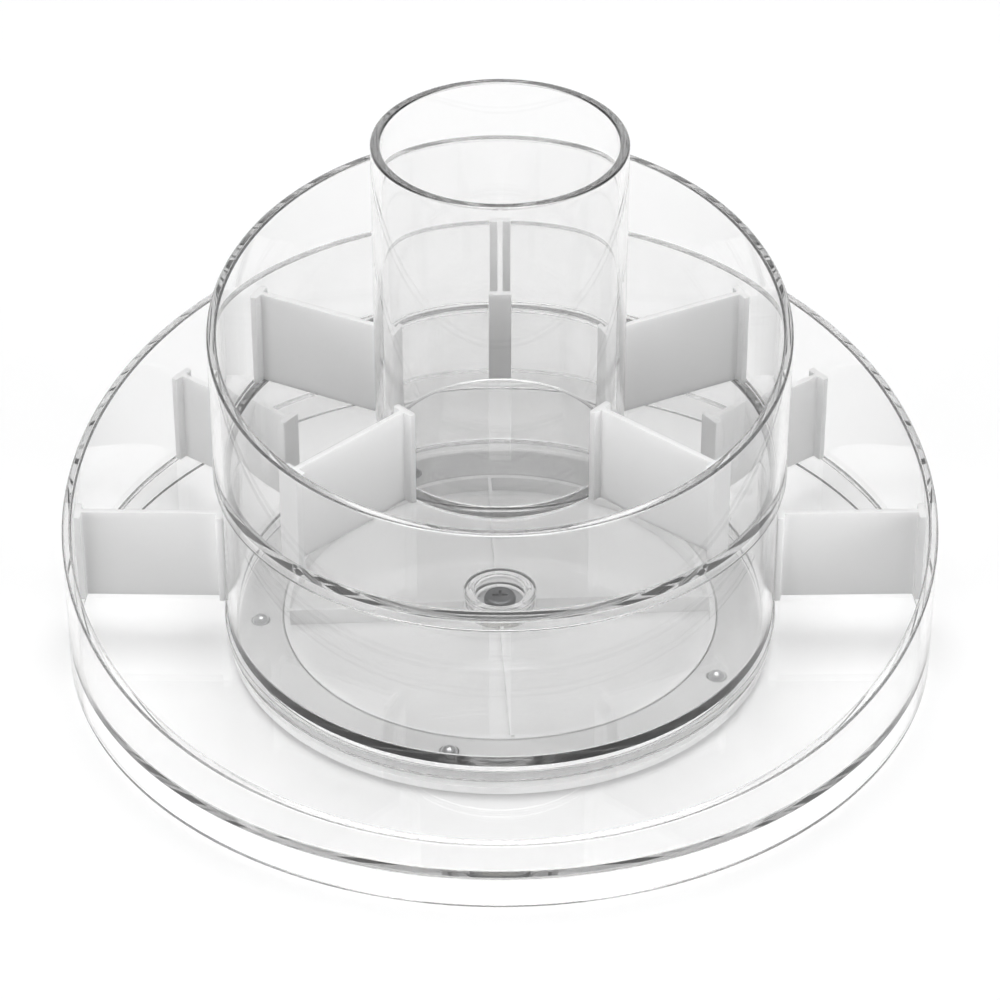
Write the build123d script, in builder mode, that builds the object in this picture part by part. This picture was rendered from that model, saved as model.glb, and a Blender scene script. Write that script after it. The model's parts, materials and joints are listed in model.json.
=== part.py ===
from build123d import *
import math
import os

os.makedirs("parts", exist_ok=True)

# A clear three-tier carousel for a bathroom counter. A wide tray turns on a ball
# race over a small fixed base. A drum stands in the tray and carries a second tray,
# and a brush cup stands in the middle of that. Loose frosted dividers split both trays.
# The origin is on the table under the spin axis, +Z is up and the low side of
# both slanted rims faces -Y.

# Driving sizes, in millimetres and degrees.
wall = 3.0
floor_thick = 3.0
rim_round = 0.8
edge_round = 0.5

# The wide tray. The rim height is given on the spin axis, where the slant crosses it.
# Its radius and that of the cup give the radii of the drum and the upper tray.
tray_radius = 140.0
tray_lift = 2.0
skirt_depth = 9.5
tray_rim_mean = 50.6
rim_tilt = 10.0
rim_trim = 1.0

# The drum. Its floor has a hole that drops over the hub of the tray.
drum_height = 56.5
drum_floor = 2.2

# The upper tray. Its short skirt drops over the top of the drum.
upper_rim_mean = 119.5
upper_skirt = 3.1
upper_skirt_wall = 2.2

# The brush cup.
cup_radius = 39.2
cup_height = 111.7
cup_recess = 1.2

# The loose dividers, with the angles they stand at on each tier.
divider_height = 32.5
web_thick = 1.8
flange_width = 7.8
flange_thick = 2.2
lower_angles = [1.0, 37.5, 142.5, 179.0]
upper_angles = [27.0, 90.0, 153.0, 224.5, 318.5]

# The ball race.
ball_radius = 3.0
ball_count = 5
ball_phase = 42.5
groove_depth = 0.9
cage_thick = 3.0
cage_width = 14.7

# The short ring under the tray that hides the race from the side.
shroud_gap = 1.1
shroud_thick = 2.6
shroud_lift = 2.8

# The fixed base and its feet.
foot_radius = 7.0
foot_height = 2.3
foot_recess = 0.8
foot_count = 4
foot_phase = 45.0
plate_thick = 3.0
plate_inset = 1.0
rib_count = 4
rib_thick = 1.2
rib_top = 10.2
rib_turn = 3.2
rib_gap = 0.5
guide_width = 1.8
guide_top = 9.6

# The hub of the tray and the post that it turns on.
hub_radius = 11.4
hub_bore = 8.2
hub_rise = 2.0
hub_web_low = 8.5
hub_web_high = 11.2
post_radius = 4.5
post_floor = 1.5
bush_wall = 1.6
boss_radius = 8.0
boss_rise = 3.0

# The washer and the screw.
washer_thick = 0.8
washer_edge = 0.2
head_radius = 5.2
head_height = 2.2
head_round = 1.3
shank_radius = 1.75
cross_width = 1.0
cross_length = 5.0
cross_depth = 1.1

# Named clearances.
seat_gap = 0.3
cup_play = 0.8
running_gap = 0.1
screw_gap = 0.05
race_gap = 0.1
pocket_gap = 0.15

# One divider fits both tiers: below it spans from the tray wall to the drum, and above
# from the tray wall nearly to the cup. So its length is half of what the walls and
# clearances leave between the wide tray and the cup, and the drum's radius follows.
spare = upper_skirt_wall - 2 * wall - 2 * seat_gap - cup_play
divider_length = (tray_radius - cup_radius + spare) / 2
drum_radius = tray_radius - wall - divider_length - 2 * seat_gap
drum_inner = drum_radius - wall
upper_radius = drum_radius + seat_gap + upper_skirt_wall
lower_mid = tray_radius - wall - seat_gap - divider_length / 2
upper_mid = upper_radius - wall - seat_gap - divider_length / 2
flange_at = divider_length / 2 - flange_thick / 2

# Heights that follow from the sizes above.
floor_low = tray_lift + skirt_depth
floor_top = floor_low + floor_thick
drum_top = floor_top + drum_height
upper_floor_top = drum_top + floor_thick
cup_low = upper_floor_top - cup_recess
plate_low = foot_height - foot_recess
plate_top = plate_low + plate_thick

# The ball runs between a groove in the base and the flat underside of the tray floor.
# The race lies just inside the drum, and the feet stand under it.
cage_outer = drum_inner - seat_gap
cage_inner = cage_outer - cage_width
race_radius = cage_outer - cage_width / 2
groove_radius = ball_radius + race_gap
ball_height = floor_low - ball_radius - race_gap
base_land_top = ball_height - groove_radius + groove_depth
cage_low = base_land_top + seat_gap

shroud_inner = cage_outer + shroud_gap
shroud_outer = shroud_inner + shroud_thick
shroud_low = plate_top + shroud_lift
plate_radius = shroud_outer - plate_inset

guide_outer = cage_inner - seat_gap
guide_inner = guide_outer - guide_width
rib_start = hub_radius + rib_gap
rib_length = guide_inner - rib_start + guide_width / 2

# The screw clamps the washer on the post and its shank ends in a blind hole.
post_top = hub_web_high + seat_gap
head_low = post_top + washer_thick
hole_low = plate_low + post_floor
shank_low = hole_low + screw_gap
bush_bore = post_radius + running_gap
bush_outer = bush_bore + bush_wall


def rim_plane(mean_height):
    # The plane of a slanted rim, low toward -Y and high toward +Y.
    lean = math.radians(rim_tilt)
    normal = (0, -math.sin(lean), math.cos(lean))
    return Plane(origin=(0, 0, mean_height), x_dir=(1, 0, 0), z_dir=normal)


def rim_top(radius, mean_height):
    # The highest point of a slanted rim, with a little to trim away.
    return mean_height + radius * math.tan(math.radians(rim_tilt)) + rim_trim


# Base plate: a disc with a ball race, a guide ring for the cage, a cross of thin ribs
# and a centre post. Four shallow pockets underneath take the rubber feet.
with BuildPart() as base_plate:
    with BuildSketch(Plane.XY.offset(plate_low)):
        Circle(plate_radius)
    extrude(amount=plate_thick)
    with BuildSketch(Plane.XY.offset(plate_top)):
        Circle(cage_outer)
        Circle(guide_inner, mode=Mode.SUBTRACT)
    extrude(amount=base_land_top - plate_top)
    with BuildSketch(Plane.XY.offset(plate_top)):
        Circle(guide_outer)
        Circle(guide_inner, mode=Mode.SUBTRACT)
    extrude(amount=guide_top - plate_top)
    with BuildSketch(Plane.XY.offset(plate_top)):
        Circle(boss_radius)
    extrude(amount=boss_rise)
    with BuildSketch(Plane.XY.offset(plate_top)):
        with PolarLocations(0, rib_count, start_angle=rib_turn):
            with Locations((rib_start, 0)):
                Rectangle(rib_length, rib_thick, align=(Align.MIN, Align.CENTER))
    extrude(amount=guide_top - plate_top)
    with BuildSketch(Plane.XY.offset(guide_top)):
        with PolarLocations(0, rib_count, start_angle=rib_turn):
            with Locations((rib_start, 0)):
                Rectangle(rib_length, rib_thick, align=(Align.MIN, Align.CENTER))
    extrude(amount=rib_top - guide_top)
    with BuildSketch(Plane.XY.offset(plate_top)):
        Circle(post_radius)
    extrude(amount=post_top - plate_top)
    with BuildSketch(Plane.XZ):
        with Locations((race_radius, ball_height)):
            Circle(groove_radius)
    revolve(axis=Axis.Z, mode=Mode.SUBTRACT)
    with Locations((0, 0, post_top)):
        Hole(shank_radius + screw_gap, depth=post_top - hole_low)
    with BuildSketch(Plane.XY.offset(plate_low)):
        with PolarLocations(race_radius, foot_count, start_angle=foot_phase):
            Circle(foot_radius + seat_gap)
    extrude(amount=foot_recess, mode=Mode.SUBTRACT)
    outer_edge = base_plate.edges().group_by(Axis.Z)[0].sort_by(SortBy.RADIUS)[-1]
    chamfer(outer_edge, edge_round)
base_plate.part.label = "base_plate"
export_step(base_plate.part, "parts/base_plate.step")

# Rubber feet: one node for the four identical pads.
with BuildPart() as rubber_feet:
    with BuildSketch(Plane.XY):
        with PolarLocations(race_radius, foot_count, start_angle=foot_phase):
            Circle(foot_radius)
    extrude(amount=foot_height)
    chamfer(rubber_feet.edges().group_by(Axis.Z)[0], edge_round)
rubber_feet.part.label = "rubber_feet"
export_step(rubber_feet.part, "parts/rubber_feet.step")

# Ball cage: a flat ring with round pockets that keeps the balls evenly spaced.
with BuildPart() as ball_cage:
    with BuildSketch(Plane.XY.offset(cage_low)):
        Circle(cage_outer)
        Circle(cage_inner, mode=Mode.SUBTRACT)
        with PolarLocations(race_radius, ball_count, start_angle=ball_phase):
            Circle(ball_radius + pocket_gap, mode=Mode.SUBTRACT)
    extrude(amount=cage_thick)
    top_edges = ball_cage.edges().group_by(Axis.Z)[-1].sort_by(SortBy.RADIUS)
    chamfer(top_edges[-2:], edge_round)
ball_cage.part.label = "ball_cage"
export_step(ball_cage.part, "parts/ball_cage.step")

# Bearing balls: one node for the identical balls.
with BuildPart() as bearing_balls:
    with Locations((0, 0, ball_height)):
        with PolarLocations(race_radius, ball_count, start_angle=ball_phase):
            Sphere(ball_radius)
bearing_balls.part.label = "bearing_balls"
export_step(bearing_balls.part, "parts/bearing_balls.step")

# Lower tray: floor, wall with a slanted rim and a skirt that nearly reaches the table.
# Under the floor is the shroud, and the balls run on the floor itself. The hub stands
# a little above the floor, where it keeps the drum in the middle.
with BuildPart() as lower_tray:
    with BuildSketch(Plane.XY.offset(floor_low)):
        Circle(tray_radius)
    extrude(amount=floor_thick)
    with BuildSketch(Plane.XY.offset(tray_lift)):
        Circle(tray_radius)
        Circle(tray_radius - wall, mode=Mode.SUBTRACT)
    extrude(amount=rim_top(tray_radius, tray_rim_mean) - tray_lift)
    with BuildSketch(Plane.XY.offset(shroud_low)):
        Circle(shroud_outer)
        Circle(shroud_inner, mode=Mode.SUBTRACT)
    extrude(amount=floor_low - shroud_low)
    with BuildSketch(Plane.XY.offset(hub_web_low)):
        Circle(hub_radius)
    extrude(amount=floor_top + hub_rise - hub_web_low)
    with BuildSketch(Plane.XY.offset(hub_web_high)):
        Circle(hub_bore)
    extrude(amount=floor_top + hub_rise - hub_web_high, mode=Mode.SUBTRACT)
    with BuildSketch(Plane.XY.offset(hub_web_low)):
        Circle(bush_outer + screw_gap)
    extrude(amount=hub_web_high - hub_web_low, mode=Mode.SUBTRACT)
    slant = rim_plane(tray_rim_mean)
    split(bisect_by=slant, keep=Keep.BOTTOM)
    fillet(lower_tray.faces().filter_by(slant).edges(), rim_round)
    fillet(lower_tray.edges().group_by(Axis.Z)[0], edge_round)
lower_tray.part.label = "lower_tray"
export_step(lower_tray.part, "parts/lower_tray.step")

# Pivot bush: the plain bearing in the hub of the tray.
with BuildPart() as pivot_bush:
    with BuildSketch(Plane.XY.offset(hub_web_low)):
        Circle(bush_outer)
        Circle(bush_bore, mode=Mode.SUBTRACT)
    extrude(amount=hub_web_high - hub_web_low)
pivot_bush.part.label = "pivot_bush"
export_step(pivot_bush.part, "parts/pivot_bush.step")

# Pivot washer: it rests on the post and stops the tray from lifting off the balls.
with BuildPart() as pivot_washer:
    with BuildSketch(Plane.XY.offset(post_top)):
        Circle(hub_bore - seat_gap)
        Circle(shank_radius + screw_gap, mode=Mode.SUBTRACT)
    extrude(amount=washer_thick)
    outer_edge = pivot_washer.edges().group_by(Axis.Z)[-1].sort_by(SortBy.RADIUS)[-1]
    chamfer(outer_edge, washer_edge)
pivot_washer.part.label = "pivot_washer"
export_step(pivot_washer.part, "parts/pivot_washer.step")

# Pivot screw: a pan head with a cross recess and a plain shank in the post.
with BuildPart() as pivot_screw:
    with BuildSketch(Plane.XY.offset(head_low)):
        Circle(head_radius)
    extrude(amount=head_height)
    fillet(pivot_screw.edges().group_by(Axis.Z)[-1], head_round)
    with BuildSketch(Plane.XY.offset(shank_low)):
        Circle(shank_radius)
    extrude(amount=head_low - shank_low)
    with BuildSketch(Plane.XY.offset(head_low + head_height - cross_depth)):
        with PolarLocations(0, 2, angular_range=180):
            Rectangle(cross_length, cross_width)
    extrude(amount=cross_depth, mode=Mode.SUBTRACT)
pivot_screw.part.label = "pivot_screw"
export_step(pivot_screw.part, "parts/pivot_screw.step")

# Riser drum: a tube with a thin floor that drops over the hub, so it stands in the middle
# of the tray. It carries the upper tray.
with BuildPart() as riser_drum:
    with BuildSketch(Plane.XY.offset(floor_top)):
        Circle(drum_radius)
        Circle(hub_radius + seat_gap, mode=Mode.SUBTRACT)
    extrude(amount=drum_floor)
    with BuildSketch(Plane.XY.offset(floor_top)):
        Circle(drum_radius)
        Circle(drum_inner, mode=Mode.SUBTRACT)
    extrude(amount=drum_height)
    chamfer(riser_drum.edges().group_by(Axis.Z)[-1], edge_round)
riser_drum.part.label = "riser_drum"
export_step(riser_drum.part, "parts/riser_drum.step")

# Upper tray: floor, wall with the same slanted rim and a short skirt that locates it
# on the drum. A shallow recess in the floor takes the cup.
with BuildPart() as upper_tray:
    with BuildSketch(Plane.XY.offset(drum_top)):
        Circle(upper_radius)
    extrude(amount=floor_thick)
    with BuildSketch(Plane.XY.offset(upper_floor_top)):
        Circle(upper_radius)
        Circle(upper_radius - wall, mode=Mode.SUBTRACT)
    extrude(amount=rim_top(upper_radius, upper_rim_mean) - upper_floor_top)
    with BuildSketch(Plane.XY.offset(drum_top - upper_skirt)):
        Circle(upper_radius)
        Circle(upper_radius - upper_skirt_wall, mode=Mode.SUBTRACT)
    extrude(amount=upper_skirt)
    with BuildSketch(Plane.XY.offset(cup_low)):
        Circle(cup_radius + seat_gap)
    extrude(amount=cup_recess, mode=Mode.SUBTRACT)
    slant = rim_plane(upper_rim_mean)
    split(bisect_by=slant, keep=Keep.BOTTOM)
    fillet(upper_tray.faces().filter_by(slant).edges(), rim_round)
    fillet(upper_tray.edges().group_by(Axis.Z)[0], edge_round)
upper_tray.part.label = "upper_tray"
export_step(upper_tray.part, "parts/upper_tray.step")

# Brush cup: a straight tube with a flat floor and a rounded rim.
with BuildPart() as brush_cup:
    with BuildSketch(Plane.XY.offset(cup_low)):
        Circle(cup_radius)
    extrude(amount=cup_height)
    with BuildSketch(Plane.XY.offset(cup_low + floor_thick)):
        Circle(cup_radius - wall)
    extrude(amount=cup_height - floor_thick, mode=Mode.SUBTRACT)
    fillet(brush_cup.edges().group_by(Axis.Z)[-1], rim_round)
    fillet(brush_cup.edges().group_by(Axis.Z)[0], edge_round)
brush_cup.part.label = "brush_cup"
export_step(brush_cup.part, "parts/brush_cup.step")

# Dividers: loose frosted panels with a flange at each end, the same on both tiers.
# Each one is its own node because each can be lifted out on its own.
lower_tier = ("lower", floor_top, lower_mid, lower_angles)
upper_tier = ("upper", upper_floor_top, upper_mid, upper_angles)
for tier, seat, middle, angles in (lower_tier, upper_tier):
    for number, angle in enumerate(angles, start=1):
        heading = (math.cos(math.radians(angle)), math.sin(math.radians(angle)), 0)
        standing = Plane(origin=(0, 0, seat), x_dir=heading, z_dir=(0, 0, 1))
        with BuildPart() as divider:
            with BuildSketch(standing):
                with Locations((middle, 0)):
                    Rectangle(divider_length, web_thick)
                with Locations((middle - flange_at, 0), (middle + flange_at, 0)):
                    Rectangle(flange_thick, flange_width)
            extrude(amount=divider_height)
            fillet(divider.edges().filter_by(Axis.Z), edge_round)
        divider.part.label = f"{tier}_divider_{number}"
        export_step(divider.part, f"parts/{tier}_divider_{number}.step")
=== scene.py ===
# %% [markdown]
# # A clear carousel organizer for a bathroom counter
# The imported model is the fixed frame: every piece below sits where the solids are, in metres,
# with the spin axis on Z and the low side of both slanted rims toward -Y.
# We keep the solids that are right as they are, such as the dividers and the screw, and only
# give them a finish. The four large clear mouldings get new meshes, because light bends at
# every facet of a clear wall and a coarse circle would show as stripes.

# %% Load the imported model
import json
import math

import bmesh
import bpy
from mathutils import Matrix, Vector


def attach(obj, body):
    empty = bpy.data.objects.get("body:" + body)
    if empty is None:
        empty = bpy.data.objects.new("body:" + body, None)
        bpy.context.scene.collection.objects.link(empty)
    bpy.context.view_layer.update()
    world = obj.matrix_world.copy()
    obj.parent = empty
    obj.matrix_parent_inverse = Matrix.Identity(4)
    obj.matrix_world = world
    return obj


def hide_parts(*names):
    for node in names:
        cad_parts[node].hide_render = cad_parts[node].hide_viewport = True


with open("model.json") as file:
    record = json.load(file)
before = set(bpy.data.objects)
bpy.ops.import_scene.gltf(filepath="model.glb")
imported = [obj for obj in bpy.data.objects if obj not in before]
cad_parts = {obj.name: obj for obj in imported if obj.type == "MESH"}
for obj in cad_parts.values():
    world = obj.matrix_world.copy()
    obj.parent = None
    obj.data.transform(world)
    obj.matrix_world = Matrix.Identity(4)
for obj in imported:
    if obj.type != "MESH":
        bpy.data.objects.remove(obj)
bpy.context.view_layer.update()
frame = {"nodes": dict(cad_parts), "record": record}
nodes = frame["nodes"]

# %% [markdown]
# ## Helpers for materials
# Colours are written as the hex values a picture editor shows, and one function turns them
# into the linear values that shaders use. A second one adds a node with its settings and
# links, so that each material reads as a short list of what it is made of.

# %% Colour and node helpers
MM = 0.001


def linear(hex_code):
    channels = [int(hex_code[i:i + 2], 16) / 255 for i in (1, 3, 5)]
    curve = [c / 12.92 if c <= 0.04045 else ((c + 0.055) / 1.055) ** 2.4 for c in channels]
    return (*curve, 1.0)


def add(tree, kind, values=None, links=None, **settings):
    node = tree.nodes.new(kind)
    for key, value in settings.items():
        setattr(node, key, value)
    for key, value in (values or {}).items():
        node.inputs[key].default_value = value
    for key, source in (links or {}).items():
        tree.links.new(source, node.inputs[key])
    return node


def new_material(name):
    material = bpy.data.materials.new(name)
    material.use_nodes = True
    material.node_tree.nodes.clear()
    return material, material.node_tree


# %% [markdown]
# ## Clear moulded acrylic
# The trays, the drum and the cup are moulded from clear acrylic. Polished moulds leave a glossy
# face with a very slight waviness, and an index of refraction of 1.49. A thin wall looks almost
# white on white, and only the long way through a rim or a floor edge looks grey, so a little
# absorption goes inside. The drum is of a slightly greyer plastic than the rest: where light
# has run all the way through its floor, it looks almost black. Lamps have to reach what stands
# behind the walls, so rays that look for a lamp pass straight through, slightly dimmed.

# %% Clear acrylic
WAVE_MM = 30.0        # moulding waves, about a finger's width
SMUDGE_MM = 9.0       # faint handling marks


def clear_acrylic(name, tint, murk):
    material, tree = new_material(name)
    place = add(tree, "ShaderNodeTexCoord").outputs["Object"]
    waves = add(tree, "ShaderNodeTexNoise", {"Scale": 1 / (WAVE_MM * MM), "Detail": 1.0},
                {"Vector": place})
    smudges = add(tree, "ShaderNodeTexNoise", {"Scale": 1 / (SMUDGE_MM * MM), "Detail": 3.0},
                  {"Vector": place})
    gloss = add(tree, "ShaderNodeMapRange", {"From Min": 0.35, "From Max": 0.75,
                "To Min": 0.0, "To Max": 0.01}, {"Value": smudges.outputs["Fac"]})
    bump = add(tree, "ShaderNodeBump", {"Strength": 0.01, "Distance": 0.2 * MM},
               {"Height": waves.outputs["Fac"]})
    body = add(tree, "ShaderNodeBsdfPrincipled", {"Base Color": linear(tint), "IOR": 1.49,
               "Transmission Weight": 1.0},
               {"Roughness": gloss.outputs["Result"], "Normal": bump.outputs["Normal"]})
    open_way = add(tree, "ShaderNodeBsdfTransparent", {"Color": linear("#FEFEFE")})
    path = add(tree, "ShaderNodeLightPath")
    mix = add(tree, "ShaderNodeMixShader", None,
              {0: path.outputs["Is Shadow Ray"], 1: body.outputs[0], 2: open_way.outputs[0]})
    inside = add(tree, "ShaderNodeVolumeAbsorption", {"Color": linear("#BCBCBC"),
                 "Density": murk})
    add(tree, "ShaderNodeOutputMaterial", None,
        {"Surface": mix.outputs[0], "Volume": inside.outputs[0]})
    return material


clear = clear_acrylic("clear_moulded_acrylic", "#FCFCFC", 6.0)
greyer = clear_acrylic("greyish_moulded_acrylic", "#FEFEFE", 18.0)
print("made", clear.name, greyer.name)

# %% [markdown]
# ## Frosted polypropylene
# The loose dividers are moulded in a textured mould and are milky inside, so light goes a few
# millimetres into them and comes out softened: that is why their thin edges look brighter than
# their faces. Subsurface scattering does this, where rough glass would look grey. A fine grain
# breaks up the shine. The real grain is finer than a pixel here, so it is drawn coarser to show.
# The small moulded parts under the tray share the recipe without the inner glow.

# %% Frosted dividers and the plain moulded plastics
GRAIN_MM = 0.6
SCATTER_MM = 3.0      # how far light spreads inside milky polypropylene


def frosted_plastic(name, pale, dark, through, glow):
    material, tree = new_material(name)
    place = add(tree, "ShaderNodeTexCoord").outputs["Object"]
    grain = add(tree, "ShaderNodeTexNoise", {"Scale": 1 / (GRAIN_MM * MM), "Detail": 2.0},
                {"Vector": place})
    clouds = add(tree, "ShaderNodeTexNoise", {"Scale": 1 / (14 * MM), "Detail": 2.0},
                 {"Vector": place})
    tone = add(tree, "ShaderNodeMix", {6: linear(dark), 7: linear(pale)},
               {0: clouds.outputs["Fac"]}, data_type="RGBA")
    gloss = add(tree, "ShaderNodeMapRange", {"To Min": 0.42, "To Max": 0.58},
                {"Value": grain.outputs["Fac"]})
    bump = add(tree, "ShaderNodeBump", {"Strength": 0.15, "Distance": 0.05 * MM},
               {"Height": grain.outputs["Fac"]})
    body = add(tree, "ShaderNodeBsdfPrincipled",
               {"IOR": 1.49, "Transmission Weight": through, "Subsurface Weight": glow,
                "Subsurface Radius": (1.0, 1.0, 1.0), "Subsurface Scale": SCATTER_MM * MM},
               {"Base Color": tone.outputs[2], "Roughness": gloss.outputs["Result"],
                "Normal": bump.outputs["Normal"]})
    add(tree, "ShaderNodeOutputMaterial", None, {"Surface": body.outputs[0]})
    return material


frosted = frosted_plastic("frosted_moulded_polypropylene", "#FDFDFD", "#F8F8F8", 0.05, 1.0)
hazy_base = frosted_plastic("hazy_moulded_polystyrene", "#FDFDFD", "#FAFAFA", 0.05, 0.0)
cage_grey = frosted_plastic("grey_moulded_acetal", "#DDDDDD", "#D5D5D5", 0.0, 0.0)
bush_white = frosted_plastic("natural_moulded_nylon", "#E9E7E1", "#E0DED8", 0.0, 0.0)
foot_grey = frosted_plastic("soft_moulded_rubber", "#C9CBCB", "#BFC1C1", 0.1, 0.0)
print("made", frosted.name, hazy_base.name, cage_grey.name, bush_white.name, foot_grey.name)

# %% [markdown]
# ## Steel
# The balls are ground and polished, the washer is zinc plated and the screw is darker. All
# three are the same metal shader with a different tone and roughness, and a fine noise keeps
# the shine from being perfectly even.

# %% Steel parts


def steel(name, tone, smooth, rough):
    material, tree = new_material(name)
    place = add(tree, "ShaderNodeTexCoord").outputs["Object"]
    marks = add(tree, "ShaderNodeTexNoise", {"Scale": 1 / (0.8 * MM), "Detail": 3.0},
                {"Vector": place})
    gloss = add(tree, "ShaderNodeMapRange", {"To Min": smooth, "To Max": rough},
                {"Value": marks.outputs["Fac"]})
    body = add(tree, "ShaderNodeBsdfPrincipled", {"Base Color": linear(tone), "Metallic": 1.0},
               {"Roughness": gloss.outputs["Result"]})
    add(tree, "ShaderNodeOutputMaterial", None, {"Surface": body.outputs[0]})
    return material


ball_steel = steel("polished_ball_steel", "#D2D3D4", 0.05, 0.14)
washer_steel = steel("zinc_plated_steel", "#D9DADB", 0.22, 0.38)
screw_steel = steel("dark_plated_steel", "#747577", 0.25, 0.42)

# %% [markdown]
# ## Giving the solids their finish
# Each solid has a slot in the record. A table from slot to material is enough, and the
# solids keep their shape.

# %% Assign materials
finishes = {"frosted_plastic": frosted, "base_plastic": hazy_base, "cage_plastic": cage_grey,
            "ball_steel": ball_steel, "bush_plastic": bush_white,
            "washer_steel": washer_steel, "screw_steel": screw_steel, "foot_rubber": foot_grey,
            "clear_plastic": clear}
for row in frame["record"]["subparts"]:
    mesh = nodes[row["node"]].data
    mesh.materials.clear()
    mesh.materials.append(finishes[row["material_slot"]])

# %% [markdown]
# ## Turning the clear mouldings
# All four clear pieces are round, so each is a profile turned about the spin axis, as on a
# lathe. The two tray rims are the exception: their top is a slanted plane. So a profile
# point may lean, and then its height rises toward the back in proportion to its distance from
# the axis. Corners get small rounds, as moulded edges have.

# %% The lathe
TURNS = 240           # steps round the circle
ROUND_STEPS = 4       # steps in each rounded corner
HOLD = 0.06           # a ring this close to each round keeps smooth shading off the flat wall
SHARP = math.radians(30)
LEAN = math.tan(math.radians(10.0))
LEVEL, SLANTED = 0, 1


def rounded(profile):
    # A profile corner is (radius, height, corner round, lean) in millimetres.
    points = []
    for i, (r, z, radius, lean) in enumerate(profile):
        if not radius:
            points.append((r, z, lean))
            continue
        before, after = profile[i - 1], profile[(i + 1) % len(profile)]
        ways = []
        for other in (before, after):
            dr, dz = other[0] - r, other[1] - z
            length = math.hypot(dr, dz)
            ways.append((dr / length, dz / length))
        (ar, az), (br, bz) = ways
        # All corners here are square, so the round starts one radius away on both sides.
        centre = (r + (ar + br) * radius, z + (az + bz) * radius)
        holding = radius + HOLD
        points.append((r + ar * holding, z + az * holding, lean))
        for step in range(ROUND_STEPS + 1):
            turn = math.pi / 2 * step / ROUND_STEPS
            along, across = radius * math.sin(turn), radius * math.cos(turn)
            points.append((centre[0] - br * across - ar * along,
                           centre[1] - bz * across - az * along, lean))
        points.append((r + br * holding, z + bz * holding, lean))
    return points


def turned(name, profile, plastic, body, node):
    points = rounded(profile)
    shape = bmesh.new()
    rings = []
    for r, z, lean in points:
        if r == 0:
            rings.append([shape.verts.new((0, 0, z * MM))] * TURNS)
            continue
        ring = []
        for k in range(TURNS):
            # Half a step off the axes keeps the round inside the box of the solids.
            angle = 2 * math.pi * (k + 0.5) / TURNS
            x, y = r * math.cos(angle), r * math.sin(angle)
            height = z + LEAN * y if lean else z
            ring.append(shape.verts.new((x * MM, y * MM, height * MM)))
        rings.append(ring)
    for i, ring in enumerate(rings):
        after = rings[(i + 1) % len(rings)]
        for k in range(TURNS):
            corners = (ring[k], ring[(k + 1) % TURNS], after[(k + 1) % TURNS], after[k])
            corners = list(dict.fromkeys(corners))
            if len(corners) > 2:
                shape.faces.new(corners)
    bmesh.ops.recalc_face_normals(shape, faces=shape.faces)
    mesh = bpy.data.meshes.new(name)
    shape.to_mesh(mesh)
    shape.free()
    mesh.shade_smooth()
    mesh.set_sharp_from_angle(angle=SHARP)
    mesh.materials.append(plastic)
    piece = bpy.data.objects.new(name, mesh)
    bpy.context.scene.collection.objects.link(piece)
    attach(piece, body)
    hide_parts(node)
    print(name, "faces:", len(mesh.polygons))


# %% [markdown]
# ## The wide lower tray
# One moulding with a floor, a wall that ends in the slanted rim, and a skirt that nearly
# reaches the table. Under the floor hangs a short shroud ring round the ball race. The hub in
# the middle is open for the screw, and it stands a little above the floor.

# %% Lower tray
SKIN = 0.05           # air between stacked clear faces, so that no two of them coincide
tray_out, tray_in, tray_rim, skirt_low = 140.0, 137.0, 50.6, 2.0
tray_low, tray_top = 11.5, 14.5
shroud_out, shroud_in, shroud_low = 89.0, 86.4, 7.3
hub_out, hub_in, hub_low, hub_top = 11.4, 8.2, 8.5, 16.5
bush_hole, web_top = 6.25, 11.2
lower_profile = [
    (bush_hole, hub_low, 0, LEVEL), (hub_out, hub_low, 0.4, LEVEL), (hub_out, tray_low, 0, LEVEL),
    (shroud_in, tray_low, 0, LEVEL), (shroud_in, shroud_low, 0.4, LEVEL),
    (shroud_out, shroud_low, 0.4, LEVEL), (shroud_out, tray_low, 0.5, LEVEL),
    (tray_in, tray_low, 0.5, LEVEL), (tray_in, skirt_low, 0.5, LEVEL),
    (tray_out, skirt_low, 0.5, LEVEL), (tray_out, tray_rim, 0.8, SLANTED),
    (tray_in, tray_rim, 0.8, SLANTED), (tray_in, tray_top - SKIN, 0.8, LEVEL),
    (hub_out, tray_top - SKIN, 0.4, LEVEL), (hub_out, hub_top, 1.2, LEVEL),
    (hub_in, hub_top, 1.2, LEVEL), (hub_in, web_top, 0, LEVEL), (bush_hole, web_top, 0, LEVEL)]
turned("lower_tray_moulding", lower_profile, clear, "carousel", "lower_tray")

# %% [markdown]
# ## Drum, upper tray and cup
# The drum is a tube with a thin floor that drops over the hub. Light that enters this floor
# runs to the wall and gets lost there, which draws the dark line round the foot of the drum.
# The upper tray has the same slanted rim as the lower one and a shallow recess for the cup.
# The cup is a straight tube with a floor.

# %% Drum, upper tray and cup
drum_out, drum_in, drum_hole, drum_floor_top = 88.6, 85.6, 11.7, 16.7
upper_low, upper_top = 71.0, 74.0
drum_profile = [
    (drum_hole, tray_top + SKIN, 0.2, LEVEL), (drum_out, tray_top + SKIN, 0.3, LEVEL),
    (drum_out, upper_low - SKIN, 0.5, LEVEL), (drum_in, upper_low - SKIN, 0.5, LEVEL),
    (drum_in, drum_floor_top, 0.8, LEVEL), (drum_hole, drum_floor_top, 0.3, LEVEL)]
turned("riser_drum_moulding", drum_profile, greyer, "riser", "riser_drum")

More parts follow.
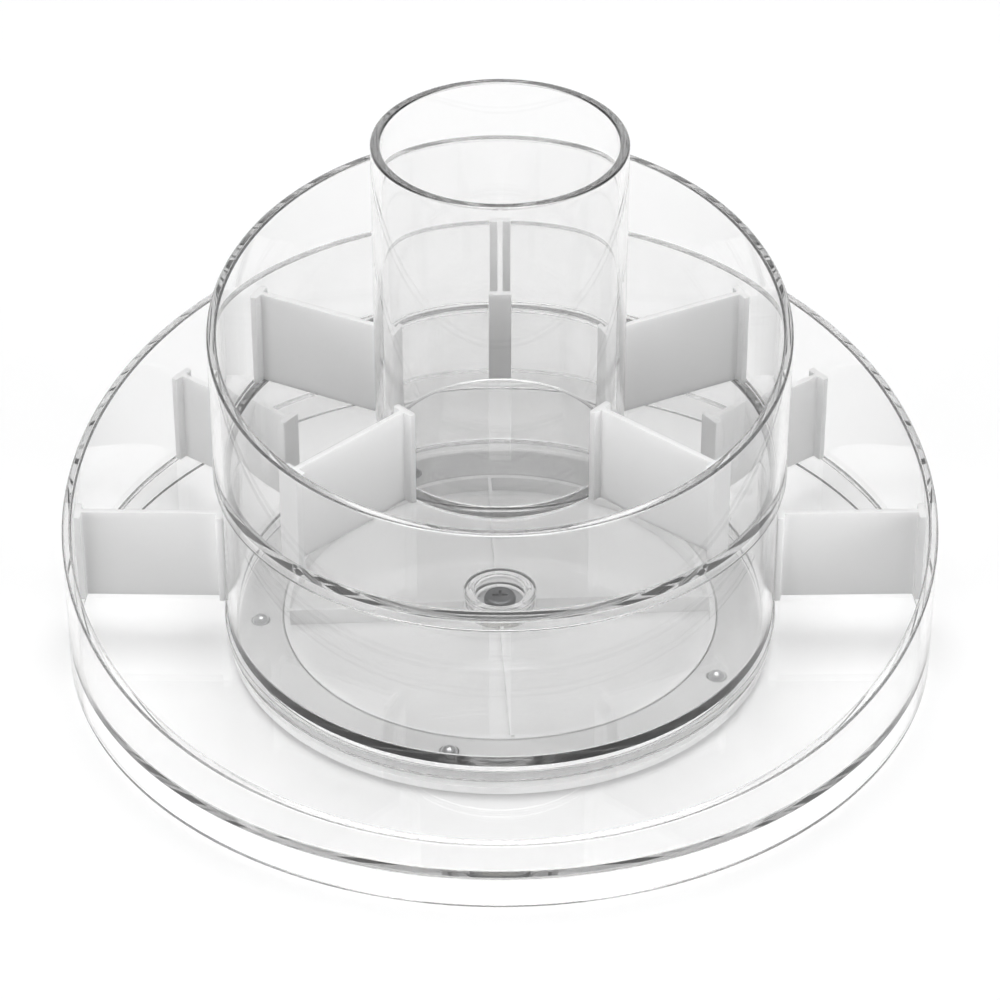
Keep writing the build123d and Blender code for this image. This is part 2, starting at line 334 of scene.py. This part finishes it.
upper_out, upper_in, upper_rim = 91.1, 88.1, 119.5
collar_in, collar_low = 88.9, 67.9
recess_out, recess_top = 39.5, 72.8
upper_profile = [
    (0, upper_low, 0, LEVEL), (collar_in, upper_low, 0, LEVEL),
    (collar_in, collar_low, 0.3, LEVEL), (upper_out, collar_low, 0.5, LEVEL),
    (upper_out, upper_rim, 0.8, SLANTED), (upper_in, upper_rim, 0.8, SLANTED),
    (upper_in, upper_top - SKIN, 0.8, LEVEL), (recess_out, upper_top - SKIN, 0.2, LEVEL),
    (recess_out, recess_top, 0, LEVEL), (0, recess_top, 0, LEVEL)]
turned("upper_tray_moulding", upper_profile, clear, "upper", "upper_tray")

cup_out, cup_in, cup_rim, cup_floor_top = 39.2, 36.2, 184.5, 75.8
cup_profile = [
    (0, recess_top + SKIN, 0, LEVEL), (cup_out, recess_top + SKIN, 0.5, LEVEL),
    (cup_out, cup_rim, 0.8, LEVEL), (cup_in, cup_rim, 0.8, LEVEL),
    (cup_in, cup_floor_top, 0.8, LEVEL), (0, cup_floor_top, 0, LEVEL)]
turned("brush_cup_moulding", cup_profile, clear, "cup", "brush_cup")

# %% [markdown]
# ## Floor and light
# The organizer stands on a white table. The floor takes the shadow as any matt white surface
# does, and a little of its own light lifts it to white for the camera and for what is seen
# through or mirrored by the plastic. Above the table the room is dim and only the softbox
# overhead is bright. That is what draws the dark lines along clear edges, which bend the
# view up into the room. Low fills on four sides light the dividers, and they are kept out of
# the mirror images so that the clear walls stay calm.

# %% Floor
FLOOR_M = 4.0         # radius of the table
LIFT = 0.1            # the table's own light, as a share of white
FADE_FROM_M, FADE_TO_M = 0.4, 0.9

shape = bmesh.new()
bmesh.ops.create_circle(shape, cap_ends=True, segments=96, radius=FLOOR_M)
floor_mesh = bpy.data.meshes.new("floor")
shape.to_mesh(floor_mesh)
shape.free()
floor = bpy.data.objects.new("floor", floor_mesh)
bpy.context.scene.collection.objects.link(floor)
paper, tree = new_material("white_table_paper")
matt = add(tree, "ShaderNodeBsdfDiffuse", {"Color": linear("#F0F0F0")})
path = add(tree, "ShaderNodeLightPath")
seen = add(tree, "ShaderNodeMath", None, {0: path.outputs["Is Camera Ray"],
           1: path.outputs["Is Glossy Ray"]}, operation="MAXIMUM")
seen = add(tree, "ShaderNodeMath", None, {0: seen.outputs[0],
           1: path.outputs["Is Transmission Ray"]}, operation="MAXIMUM")
lift = add(tree, "ShaderNodeMath", {1: LIFT}, {0: seen.outputs[0]}, operation="MULTIPLY")
glow = add(tree, "ShaderNodeEmission", {"Color": linear("#FFFFFF")},
           {"Strength": lift.outputs[0]})
both = add(tree, "ShaderNodeAddShader", None, {0: matt.outputs[0], 1: glow.outputs[0]})
# Far from the object the lamps fade, so there the table passes into a plain white backdrop.
place = add(tree, "ShaderNodeTexCoord").outputs["Object"]
reach = add(tree, "ShaderNodeVectorMath", None, {0: place}, operation="LENGTH")
far = add(tree, "ShaderNodeMapRange", {"From Min": FADE_FROM_M, "From Max": FADE_TO_M},
          {"Value": reach.outputs["Value"]})
far_seen = add(tree, "ShaderNodeMath", None, {0: far.outputs["Result"], 1: seen.outputs[0]},
               operation="MULTIPLY")
backdrop = add(tree, "ShaderNodeEmission", {"Color": linear("#FFFFFF"), "Strength": 1.0})
table = add(tree, "ShaderNodeMixShader", None, {0: far_seen.outputs[0], 1: both.outputs[0],
            2: backdrop.outputs[0]})
add(tree, "ShaderNodeOutputMaterial", None, {"Surface": table.outputs[0]})
floor_mesh.materials.append(paper)

# %% World and lamps
world = bpy.data.worlds.new("studio")
bpy.context.scene.world = world
world.use_nodes = True
tree = world.node_tree
tree.nodes.clear()
way = add(tree, "ShaderNodeTexCoord").outputs["Generated"]
height = add(tree, "ShaderNodeSeparateXYZ", None, {0: way}).outputs["Z"]
ramp = add(tree, "ShaderNodeValToRGB", None, {0: height})
# Tones of the room from the horizon, at height 0, up to the ceiling.
bands = [(0.0, "#F0F0F0"), (0.08, "#E0E0E0"), (0.22, "#606060"), (0.62, "#707070"),
         (0.85, "#B0B0B0")]
ramp.color_ramp.elements[0].position = bands[0][0]
ramp.color_ramp.elements[0].color = linear(bands[0][1])
ramp.color_ramp.elements[1].position = bands[-1][0]
ramp.color_ramp.elements[1].color = linear(bands[-1][1])
for position, tone in bands[1:-1]:
    element = ramp.color_ramp.elements.new(position)
    element.color = linear(tone)
path = add(tree, "ShaderNodeLightPath")
room = add(tree, "ShaderNodeBackground", {"Strength": 1.0}, {"Color": ramp.outputs[0]})
white = add(tree, "ShaderNodeBackground", {"Color": linear("#FFFFFF"), "Strength": 1.0})
mix = add(tree, "ShaderNodeMixShader", None, {0: path.outputs["Is Camera Ray"],
          1: room.outputs[0], 2: white.outputs[0]})
add(tree, "ShaderNodeOutputWorld", None, {"Surface": mix.outputs[0]})


def softbox(name, place, aim, size, power, mirrored):
    lamp = bpy.data.lights.new(name, "AREA")
    lamp.shape = "SQUARE"
    lamp.size = size
    lamp.energy = power
    box = bpy.data.objects.new(name, lamp)
    box.location = place
    box.visible_camera = False
    box.visible_glossy = mirrored
    box.visible_transmission = mirrored
    box.rotation_euler = (Vector(aim) - Vector(place)).to_track_quat("-Z", "Y").to_euler()
    bpy.context.scene.collection.objects.link(box)
    return box


aim = (0.0, 0.0, 0.06)
lamps = [softbox("softbox_above", (0.0, 0.4, 1.6), aim, 1.2, 15.0, True),
         softbox("fill_left", (-1.5, -0.9, 0.45), aim, 1.2, 20.0, False),
         softbox("fill_right", (1.5, -0.9, 0.45), aim, 1.2, 20.0, False),
         softbox("fill_front", (0.0, -2.2, 0.4), aim, 1.2, 8.0, False),
         softbox("fill_back", (0.0, 1.9, 0.5), aim, 1.2, 6.0, False)]
print("lamps:", [lamp.name for lamp in lamps])

# %% [markdown]
# ## Camera
# The camera is the one that the circles of the photograph ask for: a long lens, a little over
# a metre away, looking down by 35 degrees.

# %% Camera
lens = bpy.data.cameras.new("camera")
lens.sensor_width = 36.0
lens.lens = 144.0
camera = bpy.data.objects.new("camera", lens)
camera.location = (0.0, -1.0487, 0.7857)
camera.rotation_euler = (math.radians(55.05), 0.0, 0.0)
bpy.context.scene.collection.objects.link(camera)
bpy.context.scene.camera = camera
bpy.context.scene.view_settings.view_transform = "Standard"

# Light crosses many clear faces on its way here, and inside a wall it is mirrored many times.
LONG_PATH = 80
cycles = bpy.context.scene.cycles
cycles.max_bounces = LONG_PATH
cycles.transmission_bounces = LONG_PATH
cycles.glossy_bounces = LONG_PATH
cycles.transparent_max_bounces = 32
